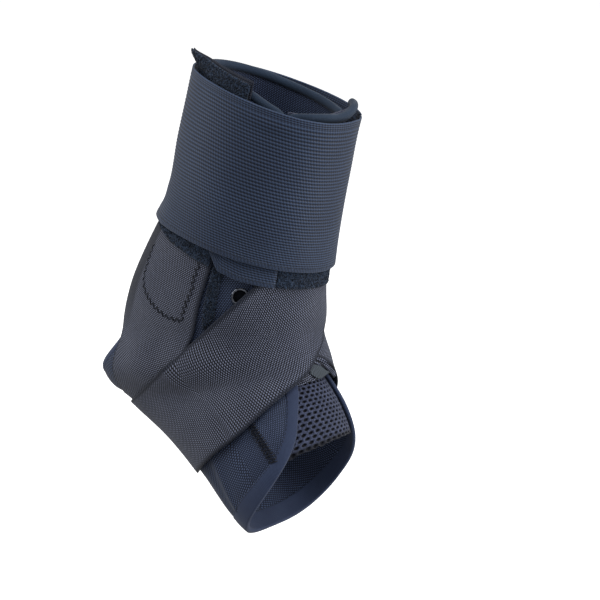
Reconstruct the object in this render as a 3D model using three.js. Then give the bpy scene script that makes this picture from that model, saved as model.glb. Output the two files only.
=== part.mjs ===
// A laced ankle brace as it sits on a right ankle: a nylon boot open at the heel, a mesh tongue,
// two crossing straps that run under the sole and up the sides, and an elastic cuff round the leg.
// Millimetres. The origin is the middle of the ankle, +Z runs up the shin, +X points to the toes
// and -Y is the outer side of the foot.
import * as THREE from 'three';

// Driving sizes of the hollow that the ankle fills
const LEG_RISE = 180;
const SOLE_DROP = 94;
const FOOT_REACH = 90;
const HEEL_REACH = 72;
const HALF_WIDTH = 42;

// Each cloth lies in its own band of heights above the skin
const LAYERS = {
  tongue: { under: -2.6, over: -0.6 },
  body: { under: 0, over: 2.0 },
  binding: { under: -0.1, over: 2.2 },
  sidePad: { under: 2.6, over: 3.5 },
  lowerStrap: { under: 2.9, over: 3.9 },
  upperStrap: { under: 4.6, over: 5.6 },
  strapPad: { under: 4.6, over: 5.5 },
  innerCuff: { under: 6.1, over: 7.2 },
  outerCuff: { under: 7.7, over: 8.9 },
};

const EYELET_RADIUS = 4.2;
const EYELET_WIRE = 0.55;
const EYELET_LIFT = 2.8;
const EYELET_SEGMENTS = { round: 16, wire: 6 };

// Cross sections of the hollow, from above the cuff down to the toe opening. Reach and rise are
// shares of the driving sizes, widest is how far back the section is widest, blunt squares its back.
const SECTIONS = [
  { frontReach: 0.42, frontRise: 0.98, backReach: -0.63, backRise: 1.01, widest: 0.48, half: 0.94, blunt: 2.0 },
  { frontReach: 0.41, frontRise: 0.75, backReach: -0.64, backRise: 0.81, widest: 0.48, half: 0.89, blunt: 2.0 },
  { frontReach: 0.42, frontRise: 0.56, backReach: -0.64, backRise: 0.61, widest: 0.48, half: 0.92, blunt: 2.0 },
  { frontReach: 0.45, frontRise: 0.385, backReach: -0.62, backRise: 0.435, widest: 0.48, half: 0.92, blunt: 2.0 },
  { frontReach: 0.49, frontRise: 0.26, backReach: -0.74, backRise: 0.28, widest: 0.48, half: 0.97, blunt: 2.1 },
  { frontReach: 0.53, frontRise: 0.17, backReach: -0.85, backRise: 0.10, widest: 0.47, half: 0.985, blunt: 2.2 },
  { frontReach: 0.545, frontRise: 0.103, backReach: -0.92, backRise: -0.155, widest: 0.43, half: 0.955, blunt: 2.2 },
  { frontReach: 0.595, frontRise: 0.048, backReach: -1.03, backRise: -0.50, widest: 0.40, half: 0.98, blunt: 2.3 },
  { frontReach: 0.685, frontRise: 0.002, backReach: -0.65, backRise: -0.60, widest: 0.42, half: 0.87, blunt: 2.4 },
  { frontReach: 0.775, frontRise: -0.085, backReach: -0.15, backRise: -0.68, widest: 0.43, half: 0.96, blunt: 2.5 },
  { frontReach: 0.85, frontRise: -0.165, backReach: 0.24, backRise: -0.81, widest: 0.45, half: 1.02, blunt: 2.6 },
  { frontReach: 0.93, frontRise: -0.26, backReach: 0.52, backRise: -0.965, widest: 0.46, half: 1.01, blunt: 2.6 },
  { frontReach: 1.00, frontRise: -0.375, backReach: 0.755, backRise: -1.05, widest: 0.49, half: 0.96, blunt: 2.6 },
];

// Path of the strap that starts on the inner side, crosses the front and the outer side, passes
// under the sole and rises at the inner rear. Station is a place in the list of sections and turn
// is degrees round the leg from the front. The toe edge is the one nearer the toes.
const STRAP_PATH = [
  { toeStation: 3.05, toeTurn: -74, heelStation: 1.95, heelTurn: -8 },
  { toeStation: 4.00, toeTurn: -50, heelStation: 2.60, heelTurn: 11 },
  { toeStation: 5.30, toeTurn: -28, heelStation: 3.30, heelTurn: 28 },
  { toeStation: 6.90, toeTurn: -12, heelStation: 4.12, heelTurn: 46 },
  { toeStation: 8.03, toeTurn: 10, heelStation: 4.75, heelTurn: 57 },
  { toeStation: 8.90, toeTurn: 38, heelStation: 5.60, heelTurn: 71 },
  { toeStation: 9.58, toeTurn: 68, heelStation: 6.65, heelTurn: 89 },
  { toeStation: 9.85, toeTurn: 94, heelStation: 7.25, heelTurn: 101 },
  { toeStation: 9.95, toeTurn: 120, heelStation: 7.75, heelTurn: 120 },
  { toeStation: 9.93, toeTurn: 145, heelStation: 8.00, heelTurn: 145 },
  { toeStation: 9.65, toeTurn: 180, heelStation: 7.95, heelTurn: 180 },
  { toeStation: 9.05, toeTurn: 215, heelStation: 7.70, heelTurn: 209 },
  { toeStation: 8.35, toeTurn: 244, heelStation: 7.15, heelTurn: 222 },
  { toeStation: 7.40, toeTurn: 266, heelStation: 6.40, heelTurn: 225 },
  { toeStation: 6.20, toeTurn: 276, heelStation: 5.55, heelTurn: 220 },
  { toeStation: 4.60, toeTurn: 281, heelStation: 4.40, heelTurn: 217 },
  { toeStation: 3.00, toeTurn: 282, heelStation: 3.00, heelTurn: 217 },
  { toeStation: 1.60, toeTurn: 282, heelStation: 1.60, heelTurn: 217 },
];
const STRAP_CELLS = { along: 58, across: 7 };
// The straps stand off the foot where they turn down over the inner edge of the instep
const STRAP_STAND_OFF = { lift: 4.5, station: 7.6, stationSpan: 1.5, turn: -30, turnSpan: 20 };
const STRAP_END_LEAN = { lift: 4.0, lowStation: 0.95, topStation: 0.65, turn: 143, turnSpan: 16 };
const UPPER_STRAP_END = 1.05;
const LOWER_STRAP_END = 0.62;

// Edge tape of the boot from the top of the lacing gap down to the middle of the sole
const FRONT_TAPE = [
  { outStation: 1.25, outTurn: 38, inStation: 1.25, inTurn: 48 },
  { outStation: 2.60, outTurn: 38, inStation: 2.60, inTurn: 48 },
  { outStation: 4.20, outTurn: 38, inStation: 4.20, inTurn: 49 },
  { outStation: 5.20, outTurn: 37, inStation: 5.20, inTurn: 48 },
  { outStation: 6.20, outTurn: 34, inStation: 6.20, inTurn: 45 },
  { outStation: 7.10, outTurn: 30, inStation: 7.10, inTurn: 41 },
  { outStation: 7.90, outTurn: 26, inStation: 7.90, inTurn: 37 },
  { outStation: 8.58, outTurn: 24, inStation: 8.65, inTurn: 35 },
  { outStation: 9.30, outTurn: 28, inStation: 9.40, inTurn: 38 },
  { outStation: 10.10, outTurn: 34, inStation: 10.20, inTurn: 45 },
  { outStation: 10.80, outTurn: 42, inStation: 10.70, inTurn: 54 },
  { outStation: 11.25, outTurn: 54, inStation: 11.00, inTurn: 65 },
  { outStation: 11.52, outTurn: 72, inStation: 11.12, inTurn: 80 },
  { outStation: 11.63, outTurn: 95, inStation: 11.17, inTurn: 100 },
  { outStation: 11.65, outTurn: 134, inStation: 11.20, inTurn: 134 },
  { outStation: 11.65, outTurn: 180, inStation: 11.20, inTurn: 180 },
];
const TAPE_GAP_TURN = 0.8;
const TAPE_CELLS = { along: 34, across: 1 };

// Edge tape round the heel opening, as an oval of station and turn about its middle
const HEEL_OPENING = { station: 5.95, turn: 180, halfStation: 1.04, halfTurn: 36 };
const HEEL_TAPE = { halfStation: 1.19, halfTurn: 42.5, gap: 0.04, gapTurn: 1.4, steps: 32 };

// Rows and columns of the boot body
const BODY_TOP_ROWS = [0, 1.3, 2.0, 2.7, 3.4, 4.1];
const BODY_OPENING_STEPS = 14;
const BODY_LOW_ROWS = [7.6, 8.1, 8.65, 9.1, 9.6, 10.1, 10.5, 10.8, 10.98, 11.08, 11.14];
const BODY_COLUMNS = 12;
const BODY_TOP_EDGE = [
  { turn: 48, station: 0.89 },
  { turn: 64, station: 0.83 },
  { turn: 80, station: 0.77 },
  { turn: 130, station: 0.79 },
  { turn: 180, station: 0.84 },
  { turn: 250, station: 0.88 },
  { turn: 312, station: 0.88 },
];

// Mesh tongue: edges of the panel from its top to its low end above the toes
const TONGUE_EDGES = [
  { outerStation: 0.88, outerTurn: 47, innerStation: 0.76, innerTurn: -46 },
  { outerStation: 1.60, outerTurn: 48, innerStation: 1.60, innerTurn: -48 },
  { outerStation: 3.00, outerTurn: 48, innerStation: 3.00, innerTurn: -48 },
  { outerStation: 4.60, outerTurn: 48, innerStation: 4.60, innerTurn: -48 },
  { outerStation: 6.20, outerTurn: 45, innerStation: 6.20, innerTurn: -45 },
  { outerStation: 7.60, outerTurn: 40, innerStation: 7.60, innerTurn: -40 },
  { outerStation: 9.00, outerTurn: 38, innerStation: 9.00, innerTurn: -38 },
  { outerStation: 10.20, outerTurn: 46, innerStation: 10.20, innerTurn: -44 },
  { outerStation: 11.20, outerTurn: 56, innerStation: 10.90, innerTurn: -50 },
];
const TONGUE_CELLS = { along: 22, across: 8 };
const TONGUE_LOW_BULGE = 0.30;
const TONGUE_CURL = { lift: 5.2, lowStation: 1.1, topStation: 0.8, startTurn: -8, endTurn: -40 };

// Cuff turns: the outer elastic, the first turn under it and the fuzzy band sewn to that turn
const CUFF_TOP = 0.86;
const CUFF_LOW = 3.57;
const CUFF_START_TURN = -36;
const CUFF_END_TURN = 322.5;
const CUFF_CELLS = { along: 44, across: 5 };
const FIRST_TURN_START = 34.5;
const FIRST_TURN_END = 318;
const FIRST_TURN_LOW = [
  { turn: 34.5, station: 4.08 },
  { turn: 58, station: 4.07 },
  { turn: 72, station: 3.98 },
  { turn: 84, station: 3.50 },
  { turn: 140, station: 3.40 },
  { turn: 318, station: 3.40 },
];
const FIRST_TURN_CELLS = { along: 38, across: 5 };
const LOOP_BAND = { startTurn: -40, endTurn: 33.5, topStation: 1.1, lowStation: 4.05 };
const LOOP_BAND_CELLS = { along: 10, across: 5 };

// Fuzzy pads: one beside the rising strap on the boot, one on the strap's free end
const SIDE_PAD = { startTurn: 69.5, endTurn: 76.5, topStation: 3.55, lowStation: 5.75, tipStation: 5.3 };
const SIDE_PAD_CELLS = { along: 2, across: 5 };
const STRAP_PAD = { startTurn: 79.5, endTurn: 141.5, topStation: 0.64, lowFront: 3.99, lowBack: 3.80 };
const STRAP_PAD_CELLS = { along: 8, across: 8 };

const EYELET = { station: 4.55, turn: 55 };

const COLOURS = {
  bootTwill: '#323b4b',
  tongueMesh: '#34394c',
  edgeTape: '#3a4256',
  strapTwill: '#3c3f4e',
  cuffElastic: '#2d3645',
  firstTurn: '#2d3444',
  loopFuzz: '#1b2230',
  nickel: '#8d929b',
};

const SLOPE_STEP = 0.001;
const TURN_STEP = 0.03;
const FULL_TURN = 360;
const HALF_TURN = 180;

function clamp(value, low, high) {
  return Math.min(high, Math.max(low, value));
}

function mix(from, to, share) {
  return from + (to - from) * share;
}

// Smooth curve through four neighbouring table values
function curve(before, from, to, after, share) {
  const turnIn = (to - before) * share;
  const bend = (2 * before - 5 * from + 4 * to - after) * share ** 2;
  const ease = (3 * from - before - 3 * to + after) * share ** 3;
  return 0.5 * (2 * from + turnIn + bend + ease);
}

// One row read out of a table between its rows
function readTable(table, place) {
  const last = table.length - 1;
  const held = clamp(place, 0, last);
  const index = Math.min(Math.floor(held), last - 1);
  const share = held - index;
  const row = {};
  for (const name of Object.keys(table[0])) {
    const before = table[Math.max(index - 1, 0)][name];
    const after = table[Math.min(index + 2, last)][name];
    row[name] = curve(before, table[index][name], table[index + 1][name], after, share);
  }
  return row;
}

// A column of a table read by the value of another column, in straight steps
function lookUp(table, key, column, at) {
  const found = table.findIndex((row) => row[key] >= at);
  if (found === 0) return table[0][column];
  if (found < 0) return table[table.length - 1][column];
  const low = table[found - 1];
  const high = table[found];
  return mix(low[column], high[column], (at - low[key]) / (high[key] - low[key]));
}

function alongFoot(share) {
  return share * (share > 0 ? FOOT_REACH : HEEL_REACH);
}

function upLeg(share) {
  return share * (share > 0 ? LEG_RISE : SOLE_DROP);
}

const HOLLOW = SECTIONS.map((row) => ({
  frontX: alongFoot(row.frontReach),
  frontZ: upLeg(row.frontRise),
  backX: alongFoot(row.backReach),
  backZ: upLeg(row.backRise),
  widest: row.widest,
  half: row.half * HALF_WIDTH,
  blunt: row.blunt,
}));

// A point of the skin that the brace wraps
function skinPoint(station, turn) {
  const row = readTable(HOLLOW, station);
  const angle = THREE.MathUtils.degToRad(turn);
  const forward = Math.cos(angle);
  const aside = Math.sin(angle);
  const power = 2 / (forward > 0 ? 2 : row.blunt);
  const depth = Math.sign(forward) * Math.abs(forward) ** power;
  const rear = depth < 0 ? 1 - row.widest : row.widest;
  const share = row.widest - depth * rear;
  const width = row.half * Math.sign(aside) * Math.abs(aside) ** power;
  return new THREE.Vector3(mix(row.frontX, row.backX, share), -width, mix(row.frontZ, row.backZ, share));
}

function skinNormal(station, turn) {
  const down = skinPoint(station + SLOPE_STEP, turn).sub(skinPoint(station - SLOPE_STEP, turn));
  const round = skinPoint(station, turn + TURN_STEP).sub(skinPoint(station, turn - TURN_STEP));
  return round.cross(down).normalize();
}

function clothPoint(station, turn, height) {
  return skinPoint(station, turn).addScaledVector(skinNormal(station, turn), height);
}

// Closed cloth from a list of four-cornered cells: an outer face, an inner face and its edges
function closedCloth(corners, cells, under, over) {
  const heightOf = (bound, corner) => (typeof bound === 'function' ? bound(corner) : bound);
  const points = [];
  for (const corner of corners) points.push(clothPoint(corner.station, corner.turn, heightOf(over, corner)));
  for (const corner of corners) points.push(clothPoint(corner.station, corner.turn, heightOf(under, corner)));
  const count = corners.length;
  const faces = [];
  const sides = new Map();
  for (const cell of cells) {
    const [a, b, c, d] = cell;
    faces.push([a, b, c], [a, c, d]);
    faces.push([count + a, count + c, count + b], [count + a, count + d, count + c]);
    for (let index = 0; index < 4; index += 1) {
      const from = cell[index];
      const to = cell[(index + 1) % 4];
      const back = `${to}_${from}`;
      if (sides.has(back)) sides.delete(back);
      else sides.set(`${from}_${to}`, [from, to]);
    }
  }
  for (const [from, to] of sides.values()) {
    faces.push([from, count + from, count + to], [from, count + to, to]);
  }
  return solidFrom(points, faces);
}

function solidFrom(points, faces) {
  const geometry = new THREE.BufferGeometry();
  const flat = points.flatMap((point) => [point.x, point.y, point.z]);
  geometry.setAttribute('position', new THREE.Float32BufferAttribute(flat, 3));
  geometry.setIndex(faces.flat());
  geometry.computeVertexNormals();
  return geometry;
}

// Cloth laid out as rows of corners, each row an array of the same length
function gridCloth(rows, under, over, joined = false) {
  const corners = rows.flat();
  const width = rows[0].length;
  const cells = [];
  const lastRow = joined ? rows.length : rows.length - 1;
  for (let row = 0; row < lastRow; row += 1) {
    const next = (row + 1) % rows.length;
    for (let column = 0; column < width - 1; column += 1) {
      const a = row * width + column;
      const b = next * width + column;
      cells.push([a, b, b + 1, a + 1]);
    }
  }
  return closedCloth(corners, cells, under, over);
}

// Rows of a strip whose two edges come from a table
function stripRows(table, names, count) {
  const rows = [];
  for (let step = 0; step <= count.along; step += 1) {
    const edge = readTable(table, (table.length - 1) * (step / count.along));
    const row = [];
    for (let part = 0; part <= count.across; part += 1) {
      const share = part / count.across;
      row.push({
        station: mix(edge[names.stationA], edge[names.stationB], share),
        turn: mix(edge[names.turnA], edge[names.turnB], share),
        across: share,
      });
    }
    rows.push(row);
  }
  return rows;
}

// Rows of a band round the leg between a top and a low edge
function bandRows(startTurn, endTurn, topAt, lowAt, count) {
  const rows = [];
  for (let step = 0; step <= count.along; step += 1) {
    const turn = mix(startTurn, endTurn, step / count.along);
    const row = [];
    for (let part = 0; part <= count.across; part += 1) {
      row.push({ station: mix(topAt(turn), lowAt(turn), part / count.across), turn });
    }
    rows.push(row);
  }
  return rows;
}

function mirrorRows(rows) {
  return rows.map((row) => row.map((corner) => ({ ...corner, turn: -corner.turn })).reverse());
}

function standOff(corner) {
  const { lift, station, stationSpan, turn, turnSpan } = STRAP_STAND_OFF;
  const away = ((corner.station - station) / stationSpan) ** 2 + ((corner.turn - turn) / turnSpan) ** 2;
  return lift * Math.exp(-away);
}

// The top back corner of the strap that rises on the outer side, and its pad, lean out above the cuff
function endLean(corner) {
  const { lift, lowStation, topStation, turn, turnSpan } = STRAP_END_LEAN;
  const above = clamp((lowStation - corner.station) / (lowStation - topStation), 0, 1);
  const away = (((corner.turn + FULL_TURN) % FULL_TURN) - turn) / turnSpan;
  return lift * above * Math.exp(-(away ** 2));
}

function makeStrap(endStation, layer, mirrored) {
  const last = STRAP_PATH[STRAP_PATH.length - 1];
  const path = [...STRAP_PATH, { ...last, toeStation: endStation, heelStation: endStation }];
  const names = { stationA: 'heelStation', turnA: 'heelTurn', stationB: 'toeStation', turnB: 'toeTurn' };
  const rows = stripRows(path, names, STRAP_CELLS);
  const lift = (corner) => standOff(corner) + (mirrored ? endLean(corner) : 0);
  const under = (corner) => layer.under + lift(corner);
  const over = (corner) => layer.over + lift(corner);
  return gridCloth(mirrored ? mirrorRows(rows) : rows, under, over);
}

function makeFrontTape() {
  const names = { stationA: 'inStation', turnA: 'inTurn', stationB: 'outStation', turnB: 'outTurn' };
  const half = stripRows(FRONT_TAPE, names, TAPE_CELLS);
  const otherHalf = half.slice(0, -1).reverse();
  const returning = otherHalf.map((row) => row.map((corner) => ({ ...corner, turn: FULL_TURN - corner.turn })));
  return gridCloth([...half, ...returning], LAYERS.binding.under, LAYERS.binding.over);
}

function openingCorner(angle, halfStation, halfTurn) {
  return {
    station: HEEL_OPENING.station - halfStation * Math.cos(angle),
    turn: HEEL_OPENING.turn + halfTurn * Math.sin(angle),
  };
}

function makeHeelTape() {
  const rows = [];
  for (let step = 0; step < HEEL_TAPE.steps; step += 1) {
    const angle = (2 * Math.PI * step) / HEEL_TAPE.steps;
    rows.push([
      openingCorner(angle, HEEL_TAPE.halfStation, HEEL_TAPE.halfTurn),
      openingCorner(angle, HEEL_OPENING.halfStation, HEEL_OPENING.halfTurn),
    ]);
  }
  return gridCloth(rows, LAYERS.binding.under, LAYERS.binding.over, true);
}

// Half width of the cut-out for the heel at a station, in degrees of turn
function cutHalfTurn(station) {
  const reach = HEEL_TAPE.halfStation + HEEL_TAPE.gap;
  const away = (station - HEEL_OPENING.station) / reach;
  if (Math.abs(away) >= 1) return 0;
  return (HEEL_TAPE.halfTurn + HEEL_TAPE.gapTurn) * Math.sqrt(1 - away ** 2);
}

function makeBody() {
  const openingRows = [];
  for (let step = 0; step <= BODY_OPENING_STEPS; step += 1) {
    const angle = (Math.PI * step) / BODY_OPENING_STEPS;
    openingRows.push(HEEL_OPENING.station - (HEEL_TAPE.halfStation + HEEL_TAPE.gap) * Math.cos(angle));
  }
  const stations = [...BODY_TOP_ROWS, ...openingRows, ...BODY_LOW_ROWS];
  const corners = [];
  const ids = new Map();
  const idOf = (station, turn) => {
    const round = (turn + FULL_TURN) % FULL_TURN;
    const key = `${station.toFixed(4)}_${round.toFixed(3)}`;
    if (!ids.has(key)) {
      ids.set(key, corners.length);
      corners.push({ station, turn: round });
    }
    return ids.get(key);
  };
  const cornerId = (row, column, side) => {
    const front = lookUp(FRONT_TAPE, 'inStation', 'inTurn', stations[row]) + TAPE_GAP_TURN;
    const back = HALF_TURN - cutHalfTurn(stations[row]);
    const turn = mix(front, back, column / BODY_COLUMNS);
    const placed = side > 0 ? turn : FULL_TURN - turn;
    const station = row === 0 ? lookUp(BODY_TOP_EDGE, 'turn', 'station', placed) : stations[row];
    return idOf(station, placed);
  };
  const cells = [];
  for (let row = 0; row < stations.length - 1; row += 1) {
    for (let column = 0; column < BODY_COLUMNS; column += 1) {
      for (const side of [1, -1]) {
        const a = cornerId(row, column, side);
        const b = cornerId(row + 1, column, side);
        const c = cornerId(row + 1, column + 1, side);
        const d = cornerId(row, column + 1, side);
        cells.push(side > 0 ? [a, d, c, b] : [a, b, c, d]);
      }
    }
  }
  return closedCloth(corners, cells, LAYERS.body.under, LAYERS.body.over);
}

// The tongue's top corner on the inner side leans away from the leg, against the cuff
function tongueLift(corner) {
  const { lift, lowStation, topStation, startTurn, endTurn } = TONGUE_CURL;
  const above = clamp((lowStation - corner.station) / (lowStation - topStation), 0, 1);
  const inward = clamp((startTurn - corner.turn) / (startTurn - endTurn), 0, 1);
  return lift * above * inward;
}

function makeTongue() {
  const names = { stationA: 'outerStation', turnA: 'outerTurn', stationB: 'innerStation', turnB: 'innerTurn' };
  const rows = stripRows(TONGUE_EDGES, names, TONGUE_CELLS);
  const lastRow = rows.length - 1;
  rows.forEach((row, index) => {
    const low = clamp((index / lastRow - 0.6) / 0.4, 0, 1);
    for (const corner of row) {
      corner.station += TONGUE_LOW_BULGE * low * Math.sin(Math.PI * corner.across);
    }
  });
  const under = (corner) => LAYERS.tongue.under + tongueLift(corner);
  const over = (corner) => LAYERS.tongue.over + tongueLift(corner);
  return gridCloth(rows, under, over);
}

function makeOuterCuff() {
  const rows = bandRows(CUFF_START_TURN, CUFF_END_TURN, () => CUFF_TOP, () => CUFF_LOW, CUFF_CELLS);
  return gridCloth(rows, LAYERS.outerCuff.under, LAYERS.outerCuff.over);
}

function makeFirstTurn() {
  const low = (turn) => lookUp(FIRST_TURN_LOW, 'turn', 'station', turn);
  const top = () => LOOP_BAND.topStation;
  const rows = bandRows(FIRST_TURN_START, FIRST_TURN_END, top, low, FIRST_TURN_CELLS);
  return gridCloth(rows, LAYERS.innerCuff.under, LAYERS.innerCuff.over);
}

function makeLoopBand() {
  const { startTurn, endTurn, topStation, lowStation } = LOOP_BAND;
  const rows = bandRows(startTurn, endTurn, () => topStation, () => lowStation, LOOP_BAND_CELLS);
  return gridCloth(rows, LAYERS.innerCuff.under, LAYERS.innerCuff.over);
}

function makeSidePad() {
  const { startTurn, endTurn, topStation, lowStation, tipStation } = SIDE_PAD;
  const low = (turn) => mix(tipStation, lowStation, (turn - startTurn) / (endTurn - startTurn));
  const rows = bandRows(startTurn, endTurn, () => topStation, low, SIDE_PAD_CELLS);
  return gridCloth(rows, LAYERS.sidePad.under, LAYERS.sidePad.over);
}

function makeStrapPad() {
  const { startTurn, endTurn, topStation, lowFront, lowBack } = STRAP_PAD;
  const low = (turn) => mix(lowFront, lowBack, (turn - startTurn) / (endTurn - startTurn));
  const rows = bandRows(startTurn, endTurn, () => topStation, low, STRAP_PAD_CELLS);
  const under = (corner) => LAYERS.strapPad.under + endLean(corner);
  const over = (corner) => LAYERS.strapPad.over + endLean(corner);
  return gridCloth(rows, under, over);
}

function makeEyelet() {
  const ring = new THREE.TorusGeometry(EYELET_RADIUS, EYELET_WIRE, EYELET_SEGMENTS.wire, EYELET_SEGMENTS.round);
  const outward = skinNormal(EYELET.station, EYELET.turn);
  const turnTo = new THREE.Quaternion().setFromUnitVectors(new THREE.Vector3(0, 0, 1), outward);
  ring.applyQuaternion(turnTo);
  const middle = clothPoint(EYELET.station, EYELET.turn, EYELET_LIFT);
  ring.translate(middle.x, middle.y, middle.z);
  return ring;
}

function piece(name, geometry, colour, roughness, metalness = 0) {
  const material = new THREE.MeshStandardMaterial({ color: colour, roughness, metalness, name });
  const mesh = new THREE.Mesh(geometry, material);
  mesh.name = name;
  return mesh;
}

const brace = new THREE.Group();
brace.name = 'ankle_brace';
brace.add(piece('boot_body', makeBody(), COLOURS.bootTwill, 0.85));
brace.add(piece('tongue', makeTongue(), COLOURS.tongueMesh, 0.9));
brace.add(piece('front_edge_tape', makeFrontTape(), COLOURS.edgeTape, 0.7));
brace.add(piece('heel_edge_tape', makeHeelTape(), COLOURS.edgeTape, 0.7));
brace.add(piece('strap_under', makeStrap(LOWER_STRAP_END, LAYERS.lowerStrap, true), COLOURS.strapTwill, 0.8));
brace.add(piece('strap_over', makeStrap(UPPER_STRAP_END, LAYERS.upperStrap, false), COLOURS.strapTwill, 0.8));
brace.add(piece('strap_loop_pad', makeStrapPad(), COLOURS.loopFuzz, 1.0));
brace.add(piece('side_loop_pad', makeSidePad(), COLOURS.loopFuzz, 1.0));
brace.add(piece('cuff_first_turn', makeFirstTurn(), COLOURS.firstTurn, 0.85));
brace.add(piece('cuff_loop_band', makeLoopBand(), COLOURS.loopFuzz, 1.0));
brace.add(piece('cuff_elastic', makeOuterCuff(), COLOURS.cuffElastic, 0.85));
brace.add(piece('eyelet', makeEyelet(), COLOURS.nickel, 0.35, 1.0));

export default brace;
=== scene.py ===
# A laced ankle brace in its worn shape above a pale studio floor: the camera, floor and lights first,
# then the form that the brace wraps, the cloths and how each is woven, and the pieces one by one.
import math

import bpy
import numpy as np
from mathutils import Matrix, Vector


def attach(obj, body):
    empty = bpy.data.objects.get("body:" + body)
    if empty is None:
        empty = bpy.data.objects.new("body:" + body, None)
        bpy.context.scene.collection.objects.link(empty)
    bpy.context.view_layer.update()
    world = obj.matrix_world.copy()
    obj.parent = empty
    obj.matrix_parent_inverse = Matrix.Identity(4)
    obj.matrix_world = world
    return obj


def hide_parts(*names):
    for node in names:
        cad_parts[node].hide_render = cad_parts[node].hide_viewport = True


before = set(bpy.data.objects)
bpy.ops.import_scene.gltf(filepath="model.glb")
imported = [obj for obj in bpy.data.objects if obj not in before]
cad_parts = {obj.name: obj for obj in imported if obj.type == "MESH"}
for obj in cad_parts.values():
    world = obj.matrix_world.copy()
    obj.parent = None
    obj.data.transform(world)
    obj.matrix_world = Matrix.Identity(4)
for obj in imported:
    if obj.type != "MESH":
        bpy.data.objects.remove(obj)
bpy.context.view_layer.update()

MM = 0.001
SEED = 11
random = np.random.default_rng(SEED)

# Camera: where it stands round the ankle, how it leans, and where the middle of the view lies
VIEW_AZIMUTH = 30.8
VIEW_ELEVATION = 16.6
VIEW_LEAN = 13.8
VIEW_DISTANCE = 891 * MM
VIEW_LENS = 92.6
SENSOR = 36.0
AIM = Vector((0, 0, 60 * MM))
AIM_RIGHT = -28.8 * MM
AIM_UP = 36.7 * MM

FLOOR_HEIGHT = -140 * MM
FLOOR_HALF = 40.0
AIR_STRENGTH = 0.46
TABLE_GLOW = 0.65
# Lights: name, place and size in metres, power in watts
LIGHTS = (
    ("left_softbox", (-0.85, -0.62, 0.4), (0.5, 0.9), 6.5),
    ("right_softbox", (1.0, 0.42, 0.42), (0.6, 0.9), 10.5),
    ("top_softbox", (0.25, -0.45, 1.15), (0.7, 0.7), 7),
)

# Driving sizes of the hollow, in millimetres, as in the solid model
LEG_RISE = 180
SOLE_DROP = 94
FOOT_REACH = 90
HEEL_REACH = 72
HALF_WIDTH = 42

# Sections of the hollow from above the cuff to the toe opening: front reach, front rise,
# back reach, back rise, widest place, half width, bluntness of the back
SECTIONS = np.array([
    (0.42, 0.98, -0.63, 1.01, 0.48, 0.94, 2.0),
    (0.41, 0.75, -0.64, 0.81, 0.48, 0.89, 2.0),
    (0.42, 0.56, -0.64, 0.61, 0.48, 0.92, 2.0),
    (0.45, 0.385, -0.62, 0.435, 0.48, 0.92, 2.0),
    (0.49, 0.26, -0.74, 0.28, 0.48, 0.97, 2.1),
    (0.53, 0.17, -0.85, 0.10, 0.47, 0.985, 2.2),
    (0.545, 0.103, -0.92, -0.155, 0.43, 0.955, 2.2),
    (0.595, 0.048, -1.03, -0.50, 0.40, 0.98, 2.3),
    (0.685, 0.002, -0.65, -0.60, 0.42, 0.87, 2.4),
    (0.775, -0.085, -0.15, -0.68, 0.43, 0.96, 2.5),
    (0.85, -0.165, 0.24, -0.81, 0.45, 1.02, 2.6),
    (0.93, -0.26, 0.52, -0.965, 0.46, 1.01, 2.6),
    (1.00, -0.375, 0.755, -1.05, 0.49, 0.96, 2.6),
])

# Heights of each cloth above the skin, in millimetres: underside and face
TONGUE = (-2.6, -0.6)
BODY = (0.0, 2.0)
TAPE = (-0.1, 2.3)
SIDE_PAD = (2.5, 3.4)
LOWER_STRAP = (2.9, 3.9)
UPPER_STRAP = (4.6, 5.6)
STRAP_PAD = (4.3, 5.3)
FIRST_TURN = (6.1, 7.2)
OUTER_CUFF = (7.6, 8.9)

# Edges of the strap that starts on the inner side: toe station, toe turn, heel station, heel turn
STRAP_PATH = np.array([
    (3.05, -74, 1.95, -8),
    (4.00, -50, 2.60, 11),
    (5.30, -28, 3.30, 28),
    (6.90, -12, 4.12, 46),
    (8.03, 10, 4.75, 57),
    (8.90, 38, 5.60, 71),
    (9.58, 68, 6.65, 89),
    (9.85, 94, 7.25, 101),
    (9.95, 120, 7.75, 120),
    (9.93, 145, 8.00, 145),
    (9.65, 180, 7.95, 180),
    (9.05, 215, 7.70, 209),
    (8.35, 244, 7.15, 222),
    (7.40, 266, 6.40, 225),
    (6.20, 276, 5.55, 220),
    (4.60, 281, 4.40, 217),
    (3.00, 282, 3.00, 217),
    (1.60, 282, 1.60, 217),
])
UPPER_STRAP_END = 1.05
LOWER_STRAP_END = 0.66
# The strap below is folded back in the crook of the instep, so that its toe edge lies higher there
CROOK_ROW = 4
CROOK_STATION = 7.62
# The rising strap's own rear edge: turns of its heel side in some rows of the path
RISING_HEEL_TURNS = {11: 216, 12: 230, 13: 229, 14: 214, 15: 207, 16: 207}
# Where the straps stand off the foot: lift, station, its span, turn, its span
STAND_OFF = ((5.2, 7.5, 1.5, -30, 20), (2.0, 5.7, 1.1, -32, 14))
SOLE_SAG = {"lift": 0.35, "station": 7.8, "rise": 0.7, "turn": 142, "turn_span": 28}
END_LEAN = {"lift": 7.0, "station": 0.95, "rise": 0.3, "turn": 143, "turn_span": 15}

# Edge tape of the boot, from the lacing gap to the middle of the sole: outer and inner edge
FRONT_TAPE = np.array([
    (1.25, 38, 1.25, 48),
    (2.60, 38, 2.60, 48),
    (4.20, 38, 4.20, 49),
    (5.20, 37, 5.20, 48),
    (6.20, 34, 6.20, 45),
    (7.10, 30, 7.10, 41),
    (7.90, 26, 7.90, 37),
    (8.58, 24, 8.65, 35),
    (9.30, 28, 9.40, 38),
    (10.10, 34, 10.20, 45),
    (10.80, 42, 10.70, 54),
    (11.25, 54, 11.00, 65),
    (11.52, 72, 11.12, 80),
    (11.63, 95, 11.17, 100),
    (11.65, 134, 11.20, 134),
    (11.65, 180, 11.20, 180),
])
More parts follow.
